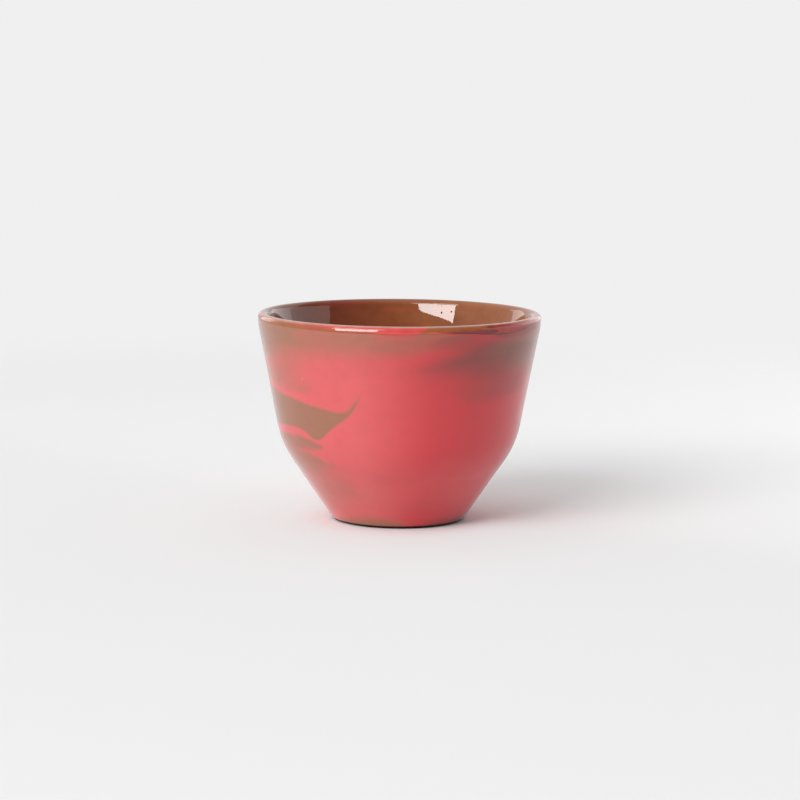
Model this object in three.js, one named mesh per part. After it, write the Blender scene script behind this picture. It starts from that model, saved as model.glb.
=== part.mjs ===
// Handle-less cappuccino cup: a slip-cast body of marbled clay, with a clear glaze that lines the inside
// and laps over the lip. Millimetres, +Z up, origin on the table at the centre of the foot.
// An azimuth is counted in degrees from the front, -Y, towards +X.

import * as THREE from 'three';

// Overall
const RIM_DIAMETER = 90; // over the glazed lip, at its widest
const HEIGHT = 66; // from the table to the top of the glazed lip

// Outside of the casting
const SHOULDER_DIAMETER = 75; // where the lines of the upper and the lower wall cross
const SHOULDER_HEIGHT = 24.5;
const SHOULDER_ROUND = 30; // radius of the bend between the two walls, outside
const FOOT_DIAMETER = 41.5; // where the line of the lower wall meets the table

// Foot
const FOOT_EDGE_LIFT = 0.6; // how far the foot's edge stands off the table
const FOOT_EDGE_ROUND = 0.6;
const FOOT_CHAMFER = 2.2; // from FOOT_DIAMETER in to the ring that the cup stands on
const FOOT_RING_WIDTH = 2.3; // of that ring
const FOOT_RECESS = 1.2; // depth of the hollow inside the ring
const FOOT_RING_BEVEL = 1.6; // how far the ring's inner side leans in over that depth

// Wall and lip
const WALL = 3.6; // clay, square to the wall
const FLOOR = 4.5; // clay, between the foot's hollow and the inside
const FLOOR_ROUND = 14; // radius between the inside floor and the wall
const LIP_BAND = 3.5; // height of the upright band that ends the outside under the top of the lip
const LIP_BAND_ROUND = 12; // radius of the bend from the wall into that band
const LIP_OUTER_ROUND = 1.2;
const LIP_INNER_ROUND = 1.7;

// Glaze coat
const GLAZE = 0.2; // thickness of the coat
const GLAZE_SEAT = 0.03; // gap between the clay and the coat
const GLAZE_LAP = 2.2; // depth of the glaze line below the top of the clay lip
const GLAZE_WAVE = 0.2; // how far the line wanders up and down
const GLAZE_WAVES = 3; // in one turn
const GLAZE_WAVE_AZIMUTH = -45; // of a low point of the wave
const GLAZE_RUN = 1.25; // how much lower the line hangs where the glaze ran
const GLAZE_RUN_AZIMUTH = 47;
const GLAZE_RUN_SPREAD = 26; // from the middle of the run to each end

// Fineness of the facets
const TURN_STEPS = 60; // round the axis
const ROUND_STEP = 10; // degrees of a round for each facet
const LAP_STEPS = 9; // facets of the coat from the top of the lip to the glaze line

const SATIN_CLAY = { color: 0xcd5a5c, roughness: 0.42, metalness: 0 };
const GLOSSY_GLAZE = { color: 0x96583c, roughness: 0.08, metalness: 0 };

const { cos, sin, tan, atan2, ceil, abs, sign, min, hypot, PI } = Math;
const { degToRad } = THREE.MathUtils;

// Draws an outline through corners { r, z, round }, each rounded by an arc that meets both its sides. Going
// along it, the solid is on the left. Returns the points { r, z, nr, nz }, with the outward normal at each.
// A round is limited where two neighbours need more than the side between them.
function roundedOutline(corners) {
  const sides = corners.slice(1).map((end, i) => {
    const start = corners[i];
    const length = hypot(end.r - start.r, end.z - start.z);
    return { length, r: (end.r - start.r) / length, z: (end.z - start.z) / length };
  });
  const turns = corners.map((corner, i) => {
    const before = sides[i - 1];
    const after = sides[i];
    if (!before || !after) return 0;
    return atan2(before.r * after.z - before.z * after.r, before.r * after.r + before.z * after.z);
  });
  const reaches = corners.map((corner, i) => (corner.round ?? 0) * tan(abs(turns[i]) / 2));
  const room = sides.map((side, i) => min(1, side.length / (reaches[i] + reaches[i + 1])));

  return corners.flatMap((corner, i) => {
    const side = sides[i - 1] ?? sides[i];
    const normal = { r: side.z, z: -side.r };
    if (!reaches[i]) return [{ r: corner.r, z: corner.z, nr: normal.r, nz: normal.z }];
    const share = min(room[i - 1], room[i]);
    const radius = sign(turns[i]) * corner.round * share;
    const centre = {
      r: corner.r - side.r * reaches[i] * share - radius * normal.r,
      z: corner.z - side.z * reaches[i] * share - radius * normal.z,
    };
    const steps = ceil(abs(turns[i]) / degToRad(ROUND_STEP));
    return Array.from({ length: steps + 1 }, (_, step) => {
      const turn = (turns[i] * step) / steps;
      const nr = normal.r * cos(turn) - normal.z * sin(turn);
      const nz = normal.r * sin(turn) + normal.z * cos(turn);
      return { r: centre.r + radius * nr, z: centre.z + radius * nz, nr, nz };
    });
  });
}

// The casting's corners, from the axis under the foot, up the outside, over the lip and down the inside.
function castingCorners() {
  const coat = GLAZE_SEAT + GLAZE;
  const top = HEIGHT - coat;
  const foot = FOOT_DIAMETER / 2;
  const ringOuter = foot - FOOT_CHAMFER;
  const ringInner = ringOuter - FOOT_RING_WIDTH;
  const shoulder = { r: SHOULDER_DIAMETER / 2, z: SHOULDER_HEIGHT };
  const band = { r: RIM_DIAMETER / 2 - coat, z: top - LIP_BAND };

  const upperLean = atan2(band.r - shoulder.r, band.z - shoulder.z);
  const lowerLean = atan2(shoulder.r - foot, shoulder.z);
  const upperWall = (z) => shoulder.r + (z - shoulder.z) * tan(upperLean);
  const lowerWall = (z) => shoulder.r + (z - shoulder.z) * tan(lowerLean);

  // The inside runs parallel to the outside, one wall further in.
  const upperIn = WALL / cos(upperLean);
  const lowerIn = WALL / cos(lowerLean);
  const innerShoulder = shoulder.z + (lowerIn - upperIn) / (tan(lowerLean) - tan(upperLean));
  const floor = FOOT_RECESS + FLOOR;

  return [
    { r: 0, z: FOOT_RECESS },
    { r: ringInner - FOOT_RING_BEVEL, z: FOOT_RECESS },
    { r: ringInner, z: 0 },
    { r: ringOuter, z: 0 },
    { r: lowerWall(FOOT_EDGE_LIFT), z: FOOT_EDGE_LIFT, round: FOOT_EDGE_ROUND },
    { ...shoulder, round: SHOULDER_ROUND },
    { ...band, round: LIP_BAND_ROUND },
    { r: band.r, z: top, round: LIP_OUTER_ROUND },
    { r: upperWall(top) - upperIn, z: top, round: LIP_INNER_ROUND },
    { r: upperWall(innerShoulder) - upperIn, z: innerShoulder, round: SHOULDER_ROUND - WALL },
    { r: lowerWall(floor) - lowerIn, z: floor, round: FLOOR_ROUND },
    { r: 0, z: floor },
  ];
}

// Depth of the glaze line below the top of the clay lip, at an azimuth in degrees.
function glazeLine(azimuth) {
  const wave = GLAZE_WAVE * cos(degToRad(GLAZE_WAVES * (azimuth - GLAZE_WAVE_AZIMUTH)));
  const fromRun = THREE.MathUtils.euclideanModulo(azimuth - GLAZE_RUN_AZIMUTH + 180, 360) - 180;
  const run = GLAZE_RUN * (0.5 + 0.5 * cos(PI * min(1, abs(fromRun) / GLAZE_RUN_SPREAD)));
  return GLAZE_LAP + wave + run;
}

// The point of the outside, given from the top of the lip down, that lies a depth below its top.
function pointBelowLip(outside, depth) {
  const z = outside[0].z - depth;
  const next = outside.findIndex((point) => point.z <= z);
  const above = outside[next - 1];
  const below = outside[next];
  const share = (above.z - z) / (above.z - below.z);
  const mix = (key) => above[key] + (below[key] - above[key]) * share;
  const length = hypot(mix('nr'), mix('nz'));
  return { r: mix('r'), z, nr: mix('nr') / length, nz: mix('nz') / length };
}

const raised = (point, height) => new THREE.Vector2(point.r + point.nr * height, point.z + point.nz * height);

// The coat's section for a depth of the glaze line: along its underside from the middle of the floor, up the
// inside and over the lip, then back along its face.
function coatSection(outline, depth) {
  const lipTop = outline.reduce((best, point, i) => (point.z > outline[best].z ? i : best), 0);
  const inside = outline.slice(lipTop).reverse();
  const outside = outline.slice(0, lipTop + 1).reverse();
  const lap = Array.from({ length: LAP_STEPS }, (_, i) => {
    const share = (i + 1) / LAP_STEPS;
    return pointBelowLip(outside, depth * share ** 2);
  });
  const path = [...inside, ...lap];
  const under = path.map((point) => raised(point, GLAZE_SEAT));
  const face = path.map((point) => raised(point, GLAZE_SEAT + GLAZE));
  return [...under, ...face.reverse()];
}

function namedMesh(name, geometry, finish) {
  const mesh = new THREE.Mesh(geometry, new THREE.MeshStandardMaterial(finish));
  mesh.name = name;
  return mesh;
}

function clayBody(outline) {
  const section = outline.map((point) => raised(point, 0));
  const geometry = new THREE.LatheGeometry(section, TURN_STEPS).rotateX(PI / 2);
  return namedMesh('clay_body', geometry, SATIN_CLAY);
}

// The coat is turned as the casting is, and then each section gets the glaze line of its own azimuth.
function linerGlaze(outline) {
  const evenSection = coatSection(outline, GLAZE_LAP);
  const geometry = new THREE.LatheGeometry(evenSection, TURN_STEPS).rotateX(PI / 2);
  const position = geometry.getAttribute('position');
  for (let step = 0; step <= TURN_STEPS; step += 1) {
    const azimuth = (360 * step) / TURN_STEPS;
    const section = coatSection(outline, glazeLine(azimuth));
    section.forEach((point, i) => {
      const x = point.x * sin(degToRad(azimuth));
      const y = -point.x * cos(degToRad(azimuth));
      position.setXYZ(step * section.length + i, x, y, point.y);
    });
  }
  geometry.computeVertexNormals();
  return namedMesh('liner_glaze', geometry, GLOSSY_GLAZE);
}

const outline = roundedOutline(castingCorners());
const cup = new THREE.Group();
cup.add(clayBody(outline), linerGlaze(outline));

export default cup;
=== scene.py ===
"""Dresses a handle-less cappuccino cup: satin marbled clay outside, clear glaze inside and over the lip.

The cup's sizes are in millimetres, and become metres where a mesh or a shader is made. The studio's are in
metres. +Z is up, the table is z = 0 and the cup's front faces -Y. An azimuth is counted in degrees from the
front towards +X.
"""

import logging
import math
from dataclasses import dataclass
from enum import Enum
from functools import cached_property
from typing import Any, ClassVar, Mapping, Optional, Sequence, Tuple, Union

import bpy
import numpy as np
from mathutils import Matrix, Vector


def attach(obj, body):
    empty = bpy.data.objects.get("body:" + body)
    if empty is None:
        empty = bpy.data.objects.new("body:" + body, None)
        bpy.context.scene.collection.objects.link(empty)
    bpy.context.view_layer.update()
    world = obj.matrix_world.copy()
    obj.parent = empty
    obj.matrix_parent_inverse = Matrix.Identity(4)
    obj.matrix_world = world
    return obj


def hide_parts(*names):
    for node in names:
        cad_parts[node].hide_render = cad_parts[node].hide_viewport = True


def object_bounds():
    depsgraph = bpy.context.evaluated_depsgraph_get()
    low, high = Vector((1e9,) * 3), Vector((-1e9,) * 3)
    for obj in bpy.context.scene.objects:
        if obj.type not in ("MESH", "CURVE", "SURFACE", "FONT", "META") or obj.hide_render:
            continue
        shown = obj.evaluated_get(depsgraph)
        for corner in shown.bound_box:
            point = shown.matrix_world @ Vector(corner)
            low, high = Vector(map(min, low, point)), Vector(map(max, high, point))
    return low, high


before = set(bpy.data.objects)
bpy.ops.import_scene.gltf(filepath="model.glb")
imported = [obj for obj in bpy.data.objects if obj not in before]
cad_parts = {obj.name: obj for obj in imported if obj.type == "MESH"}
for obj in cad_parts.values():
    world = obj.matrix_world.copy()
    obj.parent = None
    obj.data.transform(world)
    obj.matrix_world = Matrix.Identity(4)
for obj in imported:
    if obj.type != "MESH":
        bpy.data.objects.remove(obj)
CAD_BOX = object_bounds()

MM = 0.001
ROOT = "root"
LOG = logging.getLogger("cup")

Colour = Tuple[float, float, float, float]
Ease = Tuple[float, float]
Station = Tuple[float, float, float]
Socket = bpy.types.NodeSocket


class Value:
    """A shader value in Python arithmetic: each operator adds a Math node to the value's shader."""

    def __init__(self, shader: "Shader", socket: Socket) -> None:
        """Wraps an output socket of one of the shader's nodes."""
        self.shader = shader
        self.socket = socket

    def __add__(self, other: "Number") -> "Value":
        """This value plus another."""
        return self.shader.math("ADD", self, other)

    def __radd__(self, other: "Number") -> "Value":
        """A number plus this value."""
        return self.shader.math("ADD", other, self)

    def __sub__(self, other: "Number") -> "Value":
        """This value less another."""
        return self.shader.math("SUBTRACT", self, other)

    def __rsub__(self, other: "Number") -> "Value":
        """A number less this value."""
        return self.shader.math("SUBTRACT", other, self)

    def __mul__(self, other: "Number") -> "Value":
        """This value times another."""
        return self.shader.math("MULTIPLY", self, other)

    def __rmul__(self, other: "Number") -> "Value":
        """A number times this value."""
        return self.shader.math("MULTIPLY", other, self)

    def __truediv__(self, other: "Number") -> "Value":
        """This value over another."""
        return self.shader.math("DIVIDE", self, other)

    def __neg__(self) -> "Value":
        """This value with its sign turned."""
        return self.shader.math("MULTIPLY", self, -1.0)


Number = Union[float, Value]


class Shader:
    """The node tree of a material or of the world, filled node by node."""

    def __init__(self, tree: bpy.types.NodeTree) -> None:
        """Empties the tree."""
        self.tree = tree
        tree.nodes.clear()

    def node(
        self,
        kind: str,
        settings: Optional[Mapping[str, Any]] = None,
        inputs: Optional[Mapping[str, Any]] = None,
    ) -> bpy.types.Node:
        """Adds one node.

        Args:
            kind: The node's type.
            settings: Its properties, set first; "points" are those of a float curve.
            inputs: Numbers, colours, values or sockets, by the identifiers of the node's input sockets.

        Returns:
            The new node.
        """
        node = self.tree.nodes.new(kind)
        for name, setting in (settings or {}).items():
            if name == "points":
                self._set_curve(node.mapping, setting)
            else:
                setattr(node, name, setting)
        sockets = {socket.identifier: socket for socket in node.inputs}
        for name, given in (inputs or {}).items():
            source = given.socket if isinstance(given, Value) else given
            if isinstance(source, Socket):
                self.tree.links.new(source, sockets[name])
            else:
                sockets[name].default_value = source
        return node

    @staticmethod
    def _set_curve(mapping: bpy.types.CurveMapping, points: Sequence[Tuple[float, float]]) -> None:
        """Gives a curve its points, joined smoothly and without overshoot.

        Args:
            mapping: The curve mapping of a float curve node.
            points: Two or more (position, value) pairs, in rising order of position.
        """
        curve = mapping.curves[0]
        curve.points[0].location = points[0]
        curve.points[1].location = points[-1]
        for point in points[1:-1]:
            curve.points.new(*point)
        for point in curve.points:
            point.handle_type = "AUTO_CLAMPED"
        mapping.update()

    def math(self, operation: str, *values: Number) -> Value:
        """Adds a Math node.

        Args:
            operation: The node's operation.
            values: Its operands, in order.

        Returns:
            The result.
        """
        names = ("Value", "Value_001", "Value_002")
        node = self.node("ShaderNodeMath", {"operation": operation}, dict(zip(names, values)))
        return Value(self, node.outputs["Value"])

    def smooth(self, value: Number, start: float, end: float) -> Value:
        """Eases from 0 at start to 1 at end.

        Args:
            value: The value that is followed.
            start: Where the ease begins.
            end: Where it is complete.

        Returns:
            The eased share.
        """
        node = self.node(
            "ShaderNodeMapRange",
            {"interpolation_type": "SMOOTHSTEP"},
            {"Value": value, "From Min": start, "From Max": end},
        )
        return Value(self, node.outputs["Result"])

    def blend(self, share: Number, first: Any, second: Any) -> Socket:
        """Mixes two colours.

        Args:
            share: The share of the second colour.
            first: A colour or a colour socket.
            second: A colour or a colour socket.

        Returns:
            The mixed colour.
        """
        inputs = {"Factor_Float": share, "A_Color": first, "B_Color": second}
        node = self.node("ShaderNodeMix", {"data_type": "RGBA"}, inputs)
        return next(socket for socket in node.outputs if socket.identifier == "Result_Color")


class Surface(Shader):
    """A material's node tree, and the place on the surface that it is worked out for.

    Attributes:
        material: The material.
        point: The place in object coordinates, in metres.
        x, y, z: The same, in millimetres.
    """

    def __init__(self, name: str) -> None:
        """Makes an empty material.

        Args:
            name: The material's name.
        """
        self.material = bpy.data.materials.new(name)
        self.material.use_nodes = True
        super().__init__(self.material.node_tree)
        self.point = self.node("ShaderNodeTexCoord").outputs["Object"]
        place = self.node("ShaderNodeSeparateXYZ", inputs={"Vector": self.point})
        self.x, self.y, self.z = (Value(self, place.outputs[axis]) / MM for axis in "XYZ")

    @cached_property
    def radius(self) -> Value:
        """The distance from the cup's axis, in millimetres."""
        return self.math("SQRT", self.x * self.x + self.y * self.y)

    @cached_property
    def turn(self) -> Value:
        """The azimuth, from 0 at -180 degrees to 1 at 180."""
        return self.math("ARCTAN2", self.x, -self.y) / math.tau + 0.5

    def round_curve(self, points: Sequence[Tuple[float, float]]) -> Value:
        """Reads a smooth curve that goes once round the cup.

        Args:
            points: (azimuth in degrees, value between 0 and 1), in order from -180 to 180 degrees.

        Returns:
            The curve's value.
        """
        shares = [((azimuth + 180) / 360, value) for azimuth, value in points]
        node = self.node("ShaderNodeFloatCurve", {"points": shares}, {"Value": self.turn})
        return Value(self, node.outputs["Value"])

    def bump(self, relief: Value) -> Socket:
        """The normal, bent by a relief in millimetres."""
        inputs = {"Strength": 1.0, "Distance": MM, "Height": relief}
        return self.node("ShaderNodeBump", inputs=inputs).outputs["Normal"]

    def principled(self, inputs: Mapping[str, Any]) -> Socket:
        """The face of a solid with these inputs."""
        return self.node("ShaderNodeBsdfPrincipled", inputs=inputs).outputs["BSDF"]

    def mixed(self, share: Any, first: Socket, second: Socket) -> Socket:
        """Two faces mixed, by the share of the second one."""
        inputs = {"Fac": share, "Shader": first, "Shader_001": second}
        return self.node("ShaderNodeMixShader", inputs=inputs).outputs["Shader"]

    def finished(self, face: Socket) -> bpy.types.Material:
        """The material, with this face."""
        self.node("ShaderNodeOutputMaterial", inputs={"Surface": face})
        return self.material


@dataclass(frozen=True)
class Cloud:
    """A form of cloudy noise.

    Attributes:
        size: The size of a cloud, in millimetres.
        detail: How many finer octaves are added.
        twist: How far the noise distorts itself.
        flat: How many times wider than tall the clouds are.
    """

    size: float
    detail: float = 2.0
    twist: float = 0.0
    flat: float = 1.0

    def over(self, surface: Surface) -> Value:
        """The noise over a surface.

        Args:
            surface: The surface.

        Returns:
            The noise, between 0 and 1.
        """
        point = surface.point
        if self.flat != 1.0:
            squeezed = {"Vector": point, "Scale": (1.0, 1.0, self.flat)}
            point = surface.node("ShaderNodeMapping", inputs=squeezed).outputs["Vector"]
        form = {"Scale": 1.0 / (self.size * MM), "Detail": self.detail, "Distortion": self.twist}
        node = surface.node("ShaderNodeTexNoise", inputs={"Vector": point, **form})
        return Value(surface, node.outputs["Fac"])

    def swing(self, surface: Surface) -> Value:
        """The noise over a surface, between -0.5 and 0.5."""
        return self.over(surface) - 0.5


@dataclass(frozen=True)
class Specks:
    """Sparse round specks: the middles of a few of the cells of a Voronoi pattern.

    Attributes:
        spacing: The size of a cell, in millimetres.
        size: A speck's radius, in millimetres.
        share: The share of the cells that hold a speck.
        core: The share of its radius within which a speck is full.
    """

    spacing: float
    size: float
    share: float
    core: float = 0.3

    def over(self, surface: Surface) -> Value:
        """The specks over a surface.

        Args:
            surface: The surface.

        Returns:
            1 in the middle of a speck, 0 between specks.
        """
        scale = 1.0 / (self.spacing * MM)
        cells = surface.node("ShaderNodeTexVoronoi", inputs={"Vector": surface.point, "Scale": scale})
        pick = surface.node("ShaderNodeSeparateColor", inputs={"Color": cells.outputs["Color"]})
        chosen = surface.math("LESS_THAN", Value(surface, pick.outputs["Red"]), self.share)
        edge = self.size / self.spacing
        return chosen * surface.smooth(Value(surface, cells.outputs["Distance"]), edge, self.core * edge)


class Clay(Enum):
    """The clays that are marbled together."""

    RED = "red"
    # This red is no clay of the cup: it is painted sheen, the paler red that the lit side shows.
    PAINTED_SHEEN_RED = "painted_sheen_red"
    BROWN = "brown"
    SMOKE = "smoke"


@dataclass(frozen=True)
class ClayColours:
    """The colour of each clay, by the clay's own name."""

    red: Colour
    painted_sheen_red: Colour
    brown: Colour
    smoke: Colour

    def of(self, clay: Clay) -> Colour:
        """The colour of one clay."""
        return getattr(self, clay.value)


@dataclass(frozen=True)
class Swirl:
    """A tongue of one clay laid over what is there already.

    Attributes:
        clay: What the tongue is made of.
        soft: Width of the blend along its lower and its upper edge, in millimetres.
        strength: How much of what lies under it is covered.
        stations: (azimuth, lower edge, upper edge), in degrees and millimetres of height. Where the upper
            edge is under the lower one there is no tongue.
        LOWEST, HIGHEST: The heights between which an edge may lie.
        TIP: How far a tongue runs out past its first and its last station, in degrees and in millimetres.
    """

    clay: Clay
    soft: Tuple[float, float]
    strength: float
    stations: Tuple[Station, ...]

    LOWEST: ClassVar[float] = -10.0
    HIGHEST: ClassVar[float] = 90.0
    TIP: ClassVar[float] = 3.0

    def _closed_stations(self) -> Sequence[Station]:
        """Ends the tongue just beyond its own first and last station.

        Returns:
            The stations, from -180 to 180 degrees.
        """
        first, last = self.stations[0], self.stations[-1]
        before, after = [], []
        if first[0] > -180:
            before = [self._beyond(first, azimuth) for azimuth in (-180, first[0] - self.TIP)]
        if last[0] < 180:
            after = [self._beyond(last, azimuth) for azimuth in (last[0] + self.TIP, 180)]
        return [*before, *self.stations, *after]

    def _beyond(self, station: Station, azimuth: float) -> Station:
        """A station past a tip, where the edges have crossed."""
        return azimuth, station[1] + self.TIP, station[2] - self.TIP

    def _edge(self, surface: Surface, column: int) -> Value:
        """The height of one edge.

        Args:
            surface: The surface that is painted.
            column: Where the stations give that edge: 1 for the lower one, 2 for the upper one.

        Returns:
            The height, in millimetres.
        """
        span = self.HIGHEST - self.LOWEST
        points = [(station[0], (station[column] - self.LOWEST) / span) for station in self._closed_stations()]
        return surface.round_curve(points) * span + self.LOWEST

    def cover(self, surface: Surface, height: Value) -> Value:
        """How much of the surface the tongue covers.

        Args:
            surface: The surface that is painted.
            height: The height at which its edges are read, in millimetres.

        Returns:
            The share covered: an ease over the lower edge times an ease under the upper edge.
        """
        gaps = height - self._edge(surface, 1), self._edge(surface, 2) - height
        over, under = (surface.smooth(gap, -soft / 2, soft / 2) for gap, soft in zip(gaps, self.soft))
        return over * under * self.strength


@dataclass(frozen=True)
class Marbling:
    """Swirls laid one over another on a ground of one clay.

    Attributes:
        ground: The clay under all the swirls.
        painted_light_clay: The clay that the ground turns to on one side of the cup, as painted light:
            painted sheen outside, painted shade inside.
        painted_light_turn: (azimuth, share) of that turn, from -180 to 180 degrees.
        drift_clay: The clay of the cloudy streaks in the ground.
        drift: How much of the ground those streaks cover.
        drift_cloud: Their form.
        waver: How far the swirls' edges wander, in millimetres.
        swirls: The swirls, the lowest first.
        DRIFT_EASE: The noise at which a streak begins, and at which it is full.
        BROAD, FINE: The slow and the quick part of the wandering.
        BROAD_SHARE, FINE_SHARE: How far each of them goes.
        WISP: The form of the wisps that tear a soft edge.
        TEAR: How much of the edge they take.
    """

    ground: Clay
    painted_light_clay: Clay
    painted_light_turn: Tuple[Tuple[float, float], ...]
    drift_clay: Clay
    drift: float
    drift_cloud: Cloud
    waver: float
    swirls: Tuple[Swirl, ...]

    DRIFT_EASE: ClassVar[Ease] = (0.45, 0.75)
    BROAD: ClassVar[Cloud] = Cloud(11.0, 1.0)
    FINE: ClassVar[Cloud] = Cloud(2.6)
    BROAD_SHARE: ClassVar[float] = 1.6
    FINE_SHARE: ClassVar[float] = 0.7
    WISP: ClassVar[Cloud] = Cloud(22.0, 4.0, 0.4, 7.0)
    TEAR: ClassVar[float] = 1.4

    def paint(self, surface: Surface, colours: ClayColours) -> Socket:
        """The colour of a surface: each swirl's clay in turn, laid over the ones before it with a wispy edge.

        Args:
            surface: The surface that is painted.
            colours: The colour of each clay.

        Returns:
            The colour.
        """
        broad = self.BROAD_SHARE * self.BROAD.swing(surface)
        fine = self.FINE_SHARE * self.FINE.swing(surface)
        height = surface.z + self.waver * (broad + fine)
        wisp = self.WISP.swing(surface)
        # Painted light: the ground turns paler on the lit side outside, and darker on the shaded side inside.
        painted_light_turn = surface.round_curve(self.painted_light_turn)
        streaks = self.drift * surface.smooth(self.drift_cloud.over(surface), *self.DRIFT_EASE)
        colour = surface.blend(painted_light_turn, colours.of(self.ground), colours.of(self.painted_light_clay))
        colour = surface.blend(streaks, colour, colours.of(self.drift_clay))
        for swirl in self.swirls:
            cover = swirl.cover(surface, height)
            torn = cover * (1.0 - cover) * wisp * self.TEAR
            colour = surface.blend(cover + torn, colour, colours.of(swirl.clay))
        return colour


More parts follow.
